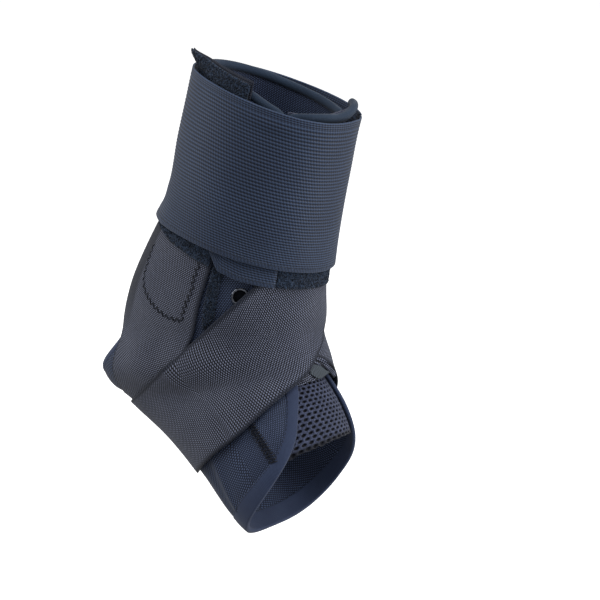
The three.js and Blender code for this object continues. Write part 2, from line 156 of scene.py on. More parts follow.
# The boot's edge lies further round on the inner side of the instep
INNER_TURN_MORE = {"turn": 9.0, "station": 8.9, "span": 1.2}

HEEL_HOLE = {"station": 6.08, "half_station": 1.14, "half_turn": 45.0}
HEEL_TAPE = {"half_station": 1.28, "half_turn": 50.5}
BODY_TOP_TURNS = (48, 64, 80, 130, 180, 250, 312)
BODY_TOP_STATIONS = (0.89, 0.83, 0.77, 0.79, 0.84, 0.88, 0.88)
BODY_TOP_FADE = 3.4
# The boot's weave lies at a slant, and is laid out at one width for a degree and one turn for its length
WEAVE_SLANT = math.radians(45)
WEAVE_DEGREE = 0.72
WEAVE_TURN = 80.0

# Tongue edges from its top to its low end: outer station, outer turn, inner station, inner turn
TONGUE_EDGES = np.array([
    (0.88, 47, 0.70, -46),
    (1.60, 48, 1.60, -48),
    (3.00, 48, 3.00, -48),
    (4.60, 48, 4.60, -48),
    (6.20, 45, 6.20, -45),
    (7.60, 40, 7.60, -44),
    (9.00, 38, 9.00, -47),
    (10.20, 46, 10.20, -50),
    (11.30, 56, 11.12, -54),
])
TONGUE_LOW_BULGE = 0.38
TONGUE_HOLES = {"rows": 78, "columns": 14}
TONGUE_CURL = {"lift": 5.2, "station": 1.1, "rise": 0.3, "start": -8, "end": -40}
# Padded top of the tongue: turn, station, height of its middle, half thickness, half height
TONGUE_ROLL = np.array([
    (47, 0.945, -0.6, 1.3, 1.8),
    (38, 0.90, -0.4, 1.7, 2.2),
    (25, 0.865, 0.0, 2.0, 2.5),
    (12, 0.84, 0.5, 2.2, 2.6),
    (0, 0.83, 1.2, 2.3, 2.7),
    (-12, 0.79, 2.4, 2.4, 2.8),
    (-24, 0.735, 3.2, 2.4, 2.8),
    (-36, 0.725, 3.3, 2.4, 2.8),
    (-47, 0.745, 3.2, 2.3, 2.7),
])

CUFF_EDGE_TURNS = (-36, -10, 20, 40, 76, 100, 126, 148, 180, 250, 322.5)
CUFF_TOP_STATIONS = (0.835, 0.82, 0.87, 0.885, 0.88, 0.88, 0.895, 0.92, 0.92, 0.88, 0.82)
CUFF_LOW_STATIONS = (3.57, 3.57, 3.57, 3.57, 3.57, 3.60, 3.69, 3.76, 3.70, 3.60, 3.57)
CUFF_WIDTH = 84.5
RIB_COUNT = 48
RIB_PITCH = CUFF_WIDTH / RIB_COUNT
WRAP_PITCH = 1.85
SELVEDGE_WIDTH = 3.2
CORD_RELIEF = 0.24
FIRST_TURN_TOP = 1.1
FIRST_TURN_LOW_TURNS = (34.5, 58, 72, 84, 140, 318)
FIRST_TURN_LOW_STATIONS = (4.08, 4.07, 3.98, 3.50, 3.40, 3.40)
LOOP_BAND_TURNS = (-40, 33.5)
LOOP_BAND_STATIONS = (1.1, 4.05)
SIDE_PAD_TURNS = (69.5, 76.5)
SIDE_PAD_TOPS = (3.55, 3.55)
SIDE_PAD_LOWS = (5.3, 5.75)
STRAP_PAD_TURNS = (79.5, 141.5)
STRAP_PAD_TOPS = (LOWER_STRAP_END + 0.05, LOWER_STRAP_END + 0.005)
STRAP_PAD_LOWS = (3.99, 3.80)
EYELET_PLACE = (4.55, 55)


def clamp(value, low=0.0, high=1.0):
    return np.minimum(high, np.maximum(low, value))


def ease(value):
    held = clamp(value)
    return held * held * (3 - 2 * held)


def hump(value, middle, span):
    return np.exp(-(((value - middle) / span) ** 2))


def outer_turn(turn):
    """Turn brought to the range from -180 to 180."""
    return (np.asarray(turn) + 180) % 360 - 180


# The form: sections joined by smooth curves, and places on it as a station and a turn

def hollow_sections():
    columns = SECTIONS.T.copy()
    for index in (0, 2):
        columns[index] *= np.where(columns[index] > 0, FOOT_REACH, HEEL_REACH)
    for index in (1, 3):
        columns[index] *= np.where(columns[index] > 0, LEG_RISE, SOLE_DROP)
    columns[5] *= HALF_WIDTH
    return columns.T


HOLLOW = hollow_sections()


def read_table(table, place):
    """A row read out of a table between its rows, on a smooth curve."""
    last = len(table) - 1
    held = clamp(np.asarray(place, float), 0, last)
    index = np.minimum(held.astype(int), last - 1)
    share = (held - index)[..., None]
    a, b, c, d = (table[np.clip(index + step, 0, last)] for step in (-1, 0, 1, 2))
    bend = (2 * a - 5 * b + 4 * c - d) * share**2
    return 0.5 * (2 * b + (c - a) * share + bend + (3 * b - a - 3 * c + d) * share**3)


def skin_point(station, turn):
    row = read_table(HOLLOW, station)
    angle = np.radians(turn)
    forward, aside = np.cos(angle), np.sin(angle)
    power = 2 / np.where(forward > 0, 2.0, row[..., 6])
    depth = np.sign(forward) * np.abs(forward) ** power
    rear = np.where(depth < 0, 1 - row[..., 4], row[..., 4])
    share = row[..., 4] - depth * rear
    width = row[..., 5] * np.sign(aside) * np.abs(aside) ** power
    x = row[..., 0] + (row[..., 2] - row[..., 0]) * share
    z = row[..., 1] + (row[..., 3] - row[..., 1]) * share
    return np.stack([x, -width, z], -1)


def skin_normal(station, turn):
    down = skin_point(station + 0.001, turn) - skin_point(station - 0.001, turn)
    round_leg = skin_point(station, turn + 0.03) - skin_point(station, turn - 0.03)
    return unit(np.cross(round_leg, down))


def cloth_point(station, turn, height):
    station, turn = np.broadcast_arrays(np.asarray(station, float), np.asarray(turn, float))
    height = np.broadcast_to(height, station.shape)
    return skin_point(station, turn) + skin_normal(station, turn) * height[..., None]


def unit(vectors):
    return vectors / np.maximum(np.linalg.norm(vectors, axis=-1, keepdims=True), 1e-9)


# Meshes

def signed_volume(points, quads):
    a, b, c, d = (points[quads[:, corner]] for corner in range(4))
    halves = np.einsum("ij,ij->i", a, np.cross(b, c)) + np.einsum("ij,ij->i", a, np.cross(c, d))
    return halves.sum() / 6


def facing_out(points, faces):
    """The faces of a closed shape, turned so that they face outwards."""
    quads = np.array([face for face in faces if len(face) == 4])
    return faces if signed_volume(points, quads) > 0 else [face[::-1] for face in faces]


def add_piece(name, points, faces, material, slot, stands_in=False, cloth=None, mark=None):
    """One object from points in millimetres, riding on the brace, with the weave's own places. Where it
    stands in for a solid, that is the one of its slot's name."""
    mesh = bpy.data.meshes.new(name)
    mesh.from_pydata((np.asarray(points) * MM).tolist(), [], [list(face) for face in faces])
    mesh.shade_smooth()
    layers = (("cloth", "FLOAT_VECTOR", "vector", cloth), ("mark", "FLOAT", "value", mark))
    for label, kind, field, values in layers:
        if values is not None:
            layer = mesh.attributes.new(label, kind, "POINT")
            layer.data.foreach_set(field, np.asarray(values, np.float32).ravel())
    piece = bpy.data.objects.new(name, mesh)
    bpy.context.scene.collection.objects.link(piece)
    mesh.materials.append(material)
    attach(piece, "root")
    if stands_in:
        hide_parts(slot)
    return piece


def grid_cells(rows, columns, joined=False):
    row = np.arange(rows if joined else rows - 1)[:, None]
    column = np.arange(columns - 1)[None, :]
    a = row * columns + column
    b = ((row + 1) % rows) * columns + column
    return np.stack([a, b, b + 1, a + 1], -1).reshape(-1, 4)


def closed_cloth(station, turn, cells, under, over, rim):
    """Points and faces of a closed cloth: face, underside and an edge rounded out by rim."""
    station, turn = np.ravel(station).astype(float), np.ravel(turn).astype(float)
    count = len(station)
    face, back = (cloth_point(station, turn, height) for height in (over, under))
    sides = np.concatenate([cells[:, [0, 1]], cells[:, [1, 2]], cells[:, [2, 3]], cells[:, [3, 0]]])
    key = sides[:, 0] * count + sides[:, 1]
    reverse = sides[:, 1] * count + sides[:, 0]
    border = sides[~np.isin(key, reverse)]
    both = np.concatenate([face, back])
    faces = np.concatenate([cells, cells[:, ::-1] + count])
    skew = signed_volume(both, faces)
    normal = skin_normal(station, turn) * (1 if skew > 0 else -1)
    outward = np.zeros_like(face)
    along = unit(face[border[:, 1]] - face[border[:, 0]])
    for end in (0, 1):
        np.add.at(outward, border[:, end], np.cross(along, normal[border[:, end]]))
    edge_ids = np.unique(border)
    edge_of = np.full(count, -1)
    edge_of[edge_ids] = np.arange(len(edge_ids)) + 2 * count
    middle = (face[edge_ids] + back[edge_ids]) / 2 + unit(outward[edge_ids]) * rim
    a, b = border[:, 0], border[:, 1]
    upper = np.stack([b, a, edge_of[a], edge_of[b]], -1)
    lower = np.stack([edge_of[b], edge_of[a], a + count, b + count], -1)
    points = np.concatenate([both, middle])
    faces = np.concatenate([faces, upper, lower])
    source = np.concatenate([np.arange(count), np.arange(count), edge_ids])
    return points, facing_out(points, faces), source


def lengths_along(points, axis):
    """Distance run along one direction of a grid of points."""
    steps = np.linalg.norm(np.diff(points, axis=axis), axis=-1)
    start = np.zeros_like(np.take(steps, [0], axis=axis))
    return np.concatenate([start, np.cumsum(steps, axis=axis)], axis=axis)


def shares_with_edges(count, tuck=0.012):
    """Even shares from 0 to 1 with a close pair at each edge, so that the edge reads as turned."""
    inner = np.linspace(tuck, 1 - tuck, count - 1)
    return np.concatenate([[0.0], inner, [1.0]])


def weave_places(station, turn):
    """Millimetres along and across the cloth at each place of a grid."""
    points = cloth_point(station, turn, 0.0)
    columns = station.shape[1]
    width = lengths_along(points, 1)
    across = width - width[:, [columns // 2]]
    along = np.repeat(lengths_along(points, 0)[:, [columns // 2]], columns, 1)
    return np.stack([along, across, 0 * along], -1)


def crosswise(places):
    """The same cloth with its ribs along it."""
    return places[..., [1, 0, 2]] * (1, -1, 1)


def cloth_piece(
    name, grid, heights, material, slot, stands_in=False, rim=0.4, places=None, mark=0.0, joined=False
):
    """A cloth laid on the form from a grid of stations and turns."""
    station, turn = grid
    under, over = (np.broadcast_to(height, station.shape) for height in heights)
    cells = grid_cells(*station.shape, joined)
    points, faces, source = closed_cloth(station, turn, cells, under.ravel(), over.ravel(), rim)
    if places is None:
        places = weave_places(station, turn)
    marks = np.broadcast_to(mark, station.shape).ravel()
    places = places.reshape(-1, 3)[source]
    return add_piece(name, points, faces, material, slot, stands_in, places, marks[source])


def between(edges, share):
    """Station and turn between two edges, from rows of station, turn, other station, other turn."""
    return tuple(edges[..., first] * (1 - share) + edges[..., first + 2] * share for first in (0, 1))


def strip_grid(table, count_along, shares):
    edges = read_table(table, np.linspace(0, len(table) - 1, count_along))
    return between(edges[:, None], shares)


def band_grid(turns, tops, lows, count_along, shares):
    """A grid between a top and a low edge, whose stations are given at some turns."""
    turn = np.linspace(turns[0], turns[-1], count_along)[:, None] + 0 * shares
    top = np.interp(turn, turns, tops)
    return top + (np.interp(turn, turns, lows) - top) * shares, turn


def rolled_edge(name, table, count, material, slot):
    """A padded edge: an oval roll through rows of turn, station, height, half thickness, half height."""
    share = np.linspace(0, 1, count)
    turn, station, height, thick, high = read_table(table, share * (len(table) - 1)).T
    end = clamp(1 - np.minimum(share, 1 - share) / 0.03)
    taper = clamp(np.sqrt(1 - end**2), 0.15)
    middle = cloth_point(station, turn, height)
    normal = skin_normal(station, turn)
    down = unit(skin_point(station + 0.01, turn) - skin_point(station - 0.01, turn))
    sides = 20
    angle = np.arange(sides) * 2 * math.pi / sides
    out = normal[:, None] * (thick * taper)[:, None, None] * np.cos(angle)[:, None]
    fall = down[:, None] * (high * taper)[:, None, None] * np.sin(angle)[:, None]
    points = (middle[:, None] + out + fall).reshape(-1, 3)
    faces = facing_out(points, tube_faces(0, count, sides))
    run = lengths_along(middle, 0)
    along = np.repeat(run[:, None], sides, 1)
    across = high[:, None] * angle
    places = np.stack([along, across, 0 * along], -1).reshape(-1, 3)
    return add_piece(name, points, faces, material, slot, False, places)


def tube_faces(start, rows, sides):
    """Faces of a closed tube whose rings of points follow one another from start."""
    faces = []
    for row in range(rows - 1):
        for side in range(sides):
            a = start + row * sides + side
            b = start + row * sides + (side + 1) % sides
            faces.append((a, b, b + sides, a + sides))
    faces.append(tuple(start + side for side in reversed(range(sides))))
    faces.append(tuple(start + (rows - 1) * sides + side for side in range(sides)))
    return faces


# Threads: a seam follows a path of stations and turns, and each stitch dips at both ends

def thread_tubes(runs, radius, sides=5):
    """Closed tubes of thread along each run of points."""
    points, faces = [], []
    angles = np.arange(sides) * 2 * math.pi / sides
    for run in runs:
        ahead = unit(np.gradient(run, axis=0))
        aside = unit(np.cross(ahead, np.array([0.31, 0.52, 0.79])))
        above = np.cross(ahead, aside)
        ring = aside[:, None] * np.cos(angles)[:, None] + above[:, None] * np.sin(angles)[:, None]
        faces += tube_faces(len(points), len(run), sides)
        points.extend((run[:, None] + ring * radius).reshape(-1, 3))
    return points, faces


def seam_runs(path, height, pitch, swing=0.0, share=1.0, rise=0.35, sink=0.25, steps=5):
    """Stitches along a path: straight ones that fill a share of each pitch, or a zigzag of a swing."""
    path = np.asarray(path, float)
    dense = read_table(path, np.linspace(0, len(path) - 1, 40 * len(path)))
    station, turn = dense[:, 0], dense[:, 1]
    level = height(station, turn) if callable(height) else np.full(len(station), float(height))
    points = cloth_point(station, turn, level)
    normal = skin_normal(station, turn)
    run = lengths_along(points, 0)
    tangent = unit(np.gradient(points, axis=0))
    aside = np.cross(normal, tangent)
    runs = []
    for index in range(int(run[-1] // pitch)):
        sign = 1 if index % 2 else -1
        at = np.linspace(index * pitch, (index + share) * pitch, steps)
        here, out, side = (
            np.stack([np.interp(at, run, axis) for axis in rows.T], -1) for rows in (points, normal, aside)
        )
        bow = np.sin(np.linspace(0, math.pi, steps))
        across = np.linspace(-sign, sign, steps) * swing
        runs.append(here + out * (bow * (rise + sink) - sink)[:, None] + side * across[:, None])
    return runs


def seam(name, paths, material, slot, height, pitch, swing=0.0, share=1.0, radius=0.3, rise=0.35):
    runs = [run for path in paths for run in seam_runs(path, height, pitch, swing, share, rise)]
    points, faces = thread_tubes(runs, radius)
    return add_piece(name, points, faces, material, slot)


# Materials

def colour(code):
    """An sRGB hex colour as linear values."""
    parts = [int(code[place:place + 2], 16) / 255 for place in (1, 3, 5)]
    linear = [part / 12.92 if part <= 0.04045 else ((part + 0.055) / 1.055) ** 2.4 for part in parts]
    return (*linear, 1.0)


def add_node(tree, kind, inputs=None, **settings):
    """A node with its settings, its input values and the links into it."""
    made = tree.nodes.new(kind)
    for name, value in settings.items():
        setattr(made, name, value)
    for name, value in (inputs or {}).items():
        if isinstance(value, bpy.types.NodeSocket):
            tree.links.new(value, made.inputs[name])
        else:
            made.inputs[name].default_value = value
    return made


def made_of(finish):
    """The material of one finish below, under the finish's own name."""
    material = bpy.data.materials.new(finish.__name__)
    material.use_nodes = True
    material.node_tree.nodes.clear()
    finish(material.node_tree)
    return material


def finish_surface(tree, base, roughness, height=None, depth=0.0, **fixed):
    """The shader, its relief and the output. Values in fixed are the same all over the surface."""
    inputs = {"Base Color": base, "Roughness": roughness}
    for name, value in fixed.items():
        inputs[name.replace("_", " ")] = value
    if height is not None:
        relief = {"Height": height, "Distance": depth * MM, "Strength": 1.0}
        inputs["Normal"] = add_node(tree, "ShaderNodeBump", relief).outputs["Normal"]
    shader = add_node(tree, "ShaderNodeBsdfPrincipled", inputs)
    add_node(tree, "ShaderNodeOutputMaterial", {"Surface": shader.outputs["BSDF"]})


def thread_shades(tree, factor, low, high, start=0.3, end=0.7):
    """Thread colour that goes from a gap's shade to a crown's as factor goes from start to end."""
    spread = {"Value": factor, "From Min": start, "From Max": end}
    held = add_node(tree, "ShaderNodeMapRange", spread, interpolation_type="SMOOTHSTEP").outputs[0]
    shades = {0: held, 6: colour(low), 7: colour(high)}
    return add_node(tree, "ShaderNodeMix", shades, data_type="RGBA").outputs[2]


def worn_in(tree, base, shade, blotch):
    """Base colour drawn towards a shade in soft blotches some millimetres wide, as in used cloth."""
    spot = add_node(tree, "ShaderNodeTexCoord").outputs["Object"]
    cloudy = {"Vector": spot, "Scale": 1 / (blotch * MM), "Detail": 3.0}
    wear = add_node(tree, "ShaderNodeTexNoise", cloudy).outputs["Fac"]
    blend = {0: wear, 6: base, 7: colour(shade)}
    return add_node(tree, "ShaderNodeMix", blend, data_type="RGBA", blend_type="MULTIPLY").outputs[2]


def thread_waves(tree, waves):
    """Height of a cloth about 0.5, made of waves over its own places. Each wave has its turns in a
    millimetre, along and across, and its share of the height."""
    height = 0.5
    places = add_node(tree, "ShaderNodeAttribute", attribute_name="cloth").outputs["Vector"]
    for turns, share in waves:
        way = [2 * math.pi * turn for turn in turns]
        phase = add_node(tree, "ShaderNodeVectorMath", {0: places, 1: way}, operation="DOT_PRODUCT")
        wave = add_node(tree, "ShaderNodeMath", {0: phase.outputs["Value"]}, operation="COSINE").outputs[0]
        total = {0: wave, 1: share, 2: height}
        height = add_node(tree, "ShaderNodeMath", total, operation="MULTIPLY_ADD").outputs[0]
    return height


def weave_height(tree, rib_pitch, bead_pitch, rib_share, lean=0.5):
    """Height of a weave from 0 to 1: ribs across the cloth, each beaded out of step with the next.
    A lean of 0.5 sets the beads like bricks, and one near 0 or 1 draws them into slanted rows."""
    rib, bead, beads = 1 / rib_pitch, 1 / bead_pitch, (1 - rib_share) / 2
    rows = [((rib / 2, bead, 0), beads * (1 - lean)), ((-rib / 2, bead, 0), beads * lean)]
    return thread_waves(tree, [((rib, 0, 0), rib_share / 2), *rows])


def woven(tree, weave, shades, wear, roughness, depth, shine, fuzz):
    """Cloth whose weave gives it both its relief and its shades, worn in blotches."""
    height = weave_height(tree, *weave)
    base = worn_in(tree, thread_shades(tree, height, *shades), *wear)
    finish_surface(tree, base, roughness, height, depth, Specular_IOR_Level=shine, Sheen_Weight=fuzz)


def speckled(tree, scale, low, high, **fixed):
    """A finish without relief whose shade changes a little from fibre to fibre."""
    spot = add_node(tree, "ShaderNodeTexCoord").outputs["Object"]
    fibres = add_node(tree, "ShaderNodeTexNoise", {"Vector": spot, "Scale": scale}).outputs["Fac"]
    finish_surface(tree, thread_shades(tree, fibres, low, high), **fixed)


def ballistic_nylon(tree):
    """Strap cloth: coarse high-tenacity nylon in a basket weave, so the eye sees ribs of shiny floats
    with dark gaps between them. Ribs lie 1.08 mm apart along the strap, floats 1.45 mm across it. Its
    edges are darkened to a smooth dark navy. The same mark also paints shade into the valleys of the
    folded pleats. It darkens the rear strip of the rising strap, which is partly a darker tone of the
    cloth and partly painted shade where the strap turns away behind the ankle."""
    height = weave_height(tree, rib_pitch=1.08, bead_pitch=1.45, rib_share=0.5, lean=0.2)
    floats = thread_shades(tree, height, "#04060d", "#868ca2", 0.4, 0.86)
    worn = worn_in(tree, floats, "#aab0c0", 26)
    # The mark darkens the strap's edges, and paints shade into the pleat valleys and over the rising
    # strap's rear strip
    dark_edge_and_shade = add_node(tree, "ShaderNodeAttribute", attribute_name="mark").outputs["Fac"]
    edges = {0: dark_edge_and_shade, 6: worn, 7: colour("#171c2a")}
    base = add_node(tree, "ShaderNodeMix", edges, data_type="RGBA").outputs[2]
    finish_surface(tree, base, 0.55, height, 0.45, Specular_IOR_Level=0.18, Sheen_Weight=0.06)


def boot_nylon(tree):
    """Boot cloth: finer plain-woven nylon bonded to foam, a close grain of small light dots."""
    shades = ("#0f1728", "#596888", 0.3, 0.95)
    woven(tree, (1.15, 1.15, 0.25), shades, ("#9aa3b6", 22), 0.6, 0.16, shine=0.2, fuzz=0.06)


def knit_tape(tree):
    """Edge tape: smooth knitted polyester folded over the edge, an even matt face with a fine grain."""
    shades = ("#253048", "#404c68", 0.1, 0.9)
    woven(tree, (0.7, 0.7, 0.5), shades, ("#a9b2c4", 16), 0.7, 0.06, shine=0.2, fuzz=0.1)


def lined_foam(tree):
    """Padded rolls: foam under a brushed knit lining, soft and even, a little bluer than the cloths."""
    shades = ("#1c2838", "#304257", 0.1, 0.9)
    woven(tree, (0.8, 0.6, 0.4), shades, ("#a4b0c2", 12), 0.75, 0.08, shine=0.18, fuzz=0.12)


def frayed_twill(tree):
    """Strap tab: grey-blue polyester twill, cut and fraying, seen only in the crook."""
    shades = ("#1a2028", "#5a636e", 0.2, 0.9)
    woven(tree, (0.95, 1.6, 0.7), shades, ("#b4bab8", 8), 0.65, 0.2, shine=0.2, fuzz=0.08)


def ribbed_elastic(tree):
    """Cuff: woven elastic with covered rubber cords 1.76 mm apart, each wrapped in slanted yarn, so the
    eye sees rows of small bright dashes. Its two edges are woven twice as fine, which the third of the
    cloth's places holds."""
    cords = ((0, 0, 1 / RIB_PITCH), 0.3)
    wraps = ((1 / WRAP_PITCH, 0.3 / RIB_PITCH, 0), 0.17)
    height = thread_waves(tree, [cords, wraps])
    yarn = thread_shades(tree, height, "#091223", "#3b4c68", 0.1, 0.95)
    base = worn_in(tree, yarn, "#a2abbb", 34)
    finish_surface(tree, base, 0.55, height, 0.2, Specular_IOR_Level=0.22, Sheen_Weight=0.1)


def brushed_loops(tree):
    """Loop pads: nylon pile brushed into tangled loops about 1 mm wide, dark with pale specks."""
    spot = add_node(tree, "ShaderNodeTexCoord").outputs["Object"]
    pile = {"Vector": spot, "Scale": 1050.0, "Detail": 4.0, "Distortion": 1.2}
    tangle = add_node(tree, "ShaderNodeTexNoise", pile)
    clumps = add_node(tree, "ShaderNodeTexVoronoi", {"Vector": spot, "Scale": 900.0, "Randomness": 1.0})
    depth = {0: tangle.outputs["Fac"], 1: clumps.outputs["Distance"]}
    height = add_node(tree, "ShaderNodeMath", depth, operation="MULTIPLY").outputs[0]
    fuzz = thread_shades(tree, height, "#060b16", "#2b394e", 0.06, 0.42)
    finish_surface(tree, fuzz, 0.9, height, 0.9, Specular_IOR_Level=0.12, Sheen_Weight=0.12)


def spacer_mesh(tree):
    """Tongue: knitted spacer mesh, plump yarns round open cells, with painted shade that darkens each cell
    towards the bottom of its hole.
    """
    # The mark paints shade, darkest at the bottom of each hole; it also darkens the mesh's low end
    depth = add_node(tree, "ShaderNodeAttribute", attribute_name="mark").outputs["Fac"]
    spot = add_node(tree, "ShaderNodeTexCoord").outputs["Object"]
    fibres = {"Vector": spot, "Scale": 900.0, "Detail": 2.0}
    yarn = add_node(tree, "ShaderNodeTexNoise", fibres).outputs["Fac"]
    strands = thread_shades(tree, yarn, "#23293d", "#444b64", 0.3, 0.75)
    hollow = {0: depth, 6: strands, 7: colour("#090b14")}
    base = add_node(tree, "ShaderNodeMix", hollow, data_type="RGBA").outputs[2]
    finish_surface(tree, base, 0.75, yarn, 0.15, Specular_IOR_Level=0.15, Sheen_Weight=0.12)


def bonded_thread(tree):
    """Seams: bonded nylon thread, dark and slightly shiny, twisted about every half millimetre."""
    speckled(tree, 2200.0, "#06080f", "#171c29", roughness=0.5, Specular_IOR_Level=0.25)


def cuff_thread(tree):
    """Cuff seams: the same thread in the cuff's own shade, so that it barely shows."""
    speckled(tree, 2200.0, "#182030", "#414b5e", roughness=0.5, Specular_IOR_Level=0.25)


def painted_hole_shade(tree):
    """Inside of the eyelet: painted shade, a near-black sheet where the hole lies in shadow."""
    speckled(tree, 800.0, "#04050a", "#0c0e14", roughness=0.95, Specular_IOR_Level=0.1)


def plated_steel(tree):
    """Eyelet: pressed steel with dull gunmetal plating that is brighter where it is scuffed."""
    spot = add_node(tree, "ShaderNodeTexCoord").outputs["Object"]
    scuffs = {"Vector": spot, "Scale": 700.0, "Detail": 4.0}
    scuff = add_node(tree, "ShaderNodeTexNoise", scuffs).outputs["Fac"]
    rough = add_node(tree, "ShaderNodeMapRange", {"Value": scuff, "To Min": 0.22, "To Max": 0.4}).outputs[0]
    finish_surface(tree, thread_shades(tree, scuff, "#3c3f47", "#767a84"), rough, Metallic=1.0)


def white_acrylic(tree):
    """Floor: white acrylic product table, lit from below so that no shadow shows on it."""
    white = colour("#f6f6f6")
    finish_surface(tree, white, 0.9, Emission_Color=white, Emission_Strength=TABLE_GLOW)


STRAP_CLOTH = made_of(ballistic_nylon)
BOOT_CLOTH = made_of(boot_nylon)
TAPE_CLOTH = made_of(knit_tape)
ROLL_CLOTH = made_of(lined_foam)
ELASTIC = made_of(ribbed_elastic)
LOOPS = made_of(brushed_loops)
MESH_CLOTH = made_of(spacer_mesh)
THREAD = made_of(bonded_thread)
CUFF_THREAD = made_of(cuff_thread)
TAB_CLOTH = made_of(frayed_twill)
STEEL = made_of(plated_steel)
HOLE_SHADE = made_of(painted_hole_shade)


# Camera, floor and lights

def place_camera():
    azimuth, elevation = math.radians(VIEW_AZIMUTH), math.radians(VIEW_ELEVATION)
    lean = math.radians(VIEW_LEAN)
    back = Vector((
        math.sin(azimuth) * math.cos(elevation),
        -math.cos(azimuth) * math.cos(elevation),
        math.sin(elevation),
    ))
    level = Vector((math.cos(azimuth), math.sin(azimuth), 0))
    rise = back.cross(level)
    right = level * math.cos(lean) + rise * math.sin(lean)
    up = rise * math.cos(lean) - level * math.sin(lean)
    lens = bpy.data.cameras.new("photo_lens")
    lens.lens = VIEW_LENS
    lens.sensor_width = SENSOR
    camera = bpy.data.objects.new("photo_camera", lens)
    turned = Matrix((right, up, back)).transposed().to_4x4()
    spot = AIM + back * VIEW_DISTANCE - right * AIM_RIGHT - up * AIM_UP
    camera.matrix_world = Matrix.Translation(spot) @ turned
    bpy.context.scene.collection.objects.link(camera)
    bpy.context.scene.camera = camera


def place_light(name, spot, size, power, aim=(0, 0, 20 * MM)):
    lamp = bpy.data.lights.new(name, "AREA")
    lamp.shape = "RECTANGLE"
    lamp.size, lamp.size_y = size
    lamp.energy = power
    holder = bpy.data.objects.new(name, lamp)
    holder.location = spot
    away = Vector(spot) - Vector(aim)
    holder.rotation_euler = away.to_track_quat("Z", "Y").to_euler()
    bpy.context.scene.collection.objects.link(holder)


def set_stage():
    corners = [(-1, -1), (1, -1), (1, 1), (-1, 1)]
    mesh = bpy.data.meshes.new("studio_floor")
    floor_points = [(x * FLOOR_HALF, y * FLOOR_HALF, FLOOR_HEIGHT) for x, y in corners]
    mesh.from_pydata(floor_points, [], [(0, 1, 2, 3)])
    mesh.materials.append(made_of(white_acrylic))
    floor = bpy.data.objects.new("studio_floor", mesh)
    # The cloth is dark from below too, as it is in a photograph cut out on white
    floor.visible_diffuse = False
    floor.visible_glossy = False
    bpy.context.scene.collection.objects.link(floor)
    air = bpy.data.worlds.new("studio_air")
    air.use_nodes = True
    air.node_tree.nodes["Background"].inputs["Color"].default_value = (1, 1, 1, 1)
    air.node_tree.nodes["Background"].inputs["Strength"].default_value = AIR_STRENGTH
    bpy.context.scene.world = air
    bpy.context.scene.view_settings.view_transform = "Standard"
    for light in LIGHTS:
        place_light(*light)


place_camera()
set_stage()


# Straps

def stand_off(station, turn):
    """The straps stand off the foot over the inner edge of the instep, and sag a little at the sole."""
    below = ease((station - SOLE_SAG["station"]) / SOLE_SAG["rise"])
    sag = SOLE_SAG["lift"] * below * hump(np.abs(outer_turn(turn)), SOLE_SAG["turn"], SOLE_SAG["turn_span"])
    for lift, at_station, station_span, at_turn, turn_span in STAND_OFF:
        sag = sag + lift * hump(station, at_station, station_span) * hump(turn, at_turn, turn_span)
    return sag


def end_lean(station, turn):
    """The rear corner of the rising strap leans out over the cuff's top."""
    above = ease((END_LEAN["station"] - station) / END_LEAN["rise"])
    return END_LEAN["lift"] * above * hump(outer_turn(turn), END_LEAN["turn"], END_LEAN["turn_span"])


def strap_grid(end_station, mirrored, count_along, shares):
    path = STRAP_PATH.copy()
    if mirrored:
        path[CROOK_ROW, 0] = CROOK_STATION
        for row, turn in RISING_HEEL_TURNS.items():
            path[row, 3] = turn
    last = path[-1].copy()
    last[[0, 2]] = end_station
    station, turn = strip_grid(np.vstack([path, last]), count_along, shares)
    return (station, -turn) if mirrored else (station, turn)


def rising_strap_relief(station, turn):
    """Soft creases where the strap rises behind the ankle."""
    side = outer_turn(turn)
    ridge = hump(side, 108, 9) * ease((station - 4.6) / 1.2) * ease((8.2 - station) / 1.5)
    trough = hump(side, 122, 8) * ease((station - 5.0) / 1.0) * ease((8.0 - station) / 1.2)
    lip = hump(station, 6.6, 0.7) * hump(side, 90, 7)
    rear = 0.4 * hump(side, 154, 16) * ease((station - 3.4) / 0.4) * ease((6.5 - station) / 0.8)
    return 0.9 * ridge - 0.5 * trough + 0.35 * lip + rear + end_lean(station, turn)


def crossing_strap_relief(station, turn):
    """Slow waves of the strap on top."""
    wave = 0.35 * np.sin(station * 2.1 + turn * 0.05) + 0.25 * np.sin(turn * 0.11 - station)
    return wave * ease((turn + 30) / 40) * ease((150 - turn) / 60)


def rising_strap_level(station, turn):
    return LOWER_STRAP[1] + stand_off(station, turn) + rising_strap_relief(station, turn)


def make_straps():
    shares = shares_with_edges(34)
    for name, node, end, mirrored, layer, relief, hand in (
        ("rising_strap", "strap_under", LOWER_STRAP_END, True, LOWER_STRAP, rising_strap_relief, -1),
        ("crossing_strap", "strap_over", UPPER_STRAP_END, False, UPPER_STRAP, crossing_strap_relief, 1),
    ):
        grid = strap_grid(end, mirrored, 330, shares)
        lift = stand_off(*grid) + relief(*grid)
        heights = (layer[0] + lift, layer[1] + lift)
        places = weave_places(*grid) * (1, hand, 1)
        dark_edge_and_shade = np.where(np.abs(shares - 0.5) > 0.485, 1.0, 0.0) + 0 * grid[0]
        dark_edge_and_shade[-2:] = 1.0
        if mirrored:
            # Darker rear strip of the rising strap behind the ankle: partly a darker tone of the cloth,
            # partly painted shade where the strap turns away from the light
            rear_tone_and_shade = ease((outer_turn(grid[1]) - 129) / 3) * ease((6.5 - grid[0]) / 1.5)
            dark_edge_and_shade = np.maximum(dark_edge_and_shade, 0.95 * rear_tone_and_shade * (outer_turn(grid[1]) > 0))
        strap = cloth_piece(name, grid, heights, STRAP_CLOTH, node, True, 0.45, places, dark_edge_and_shade)


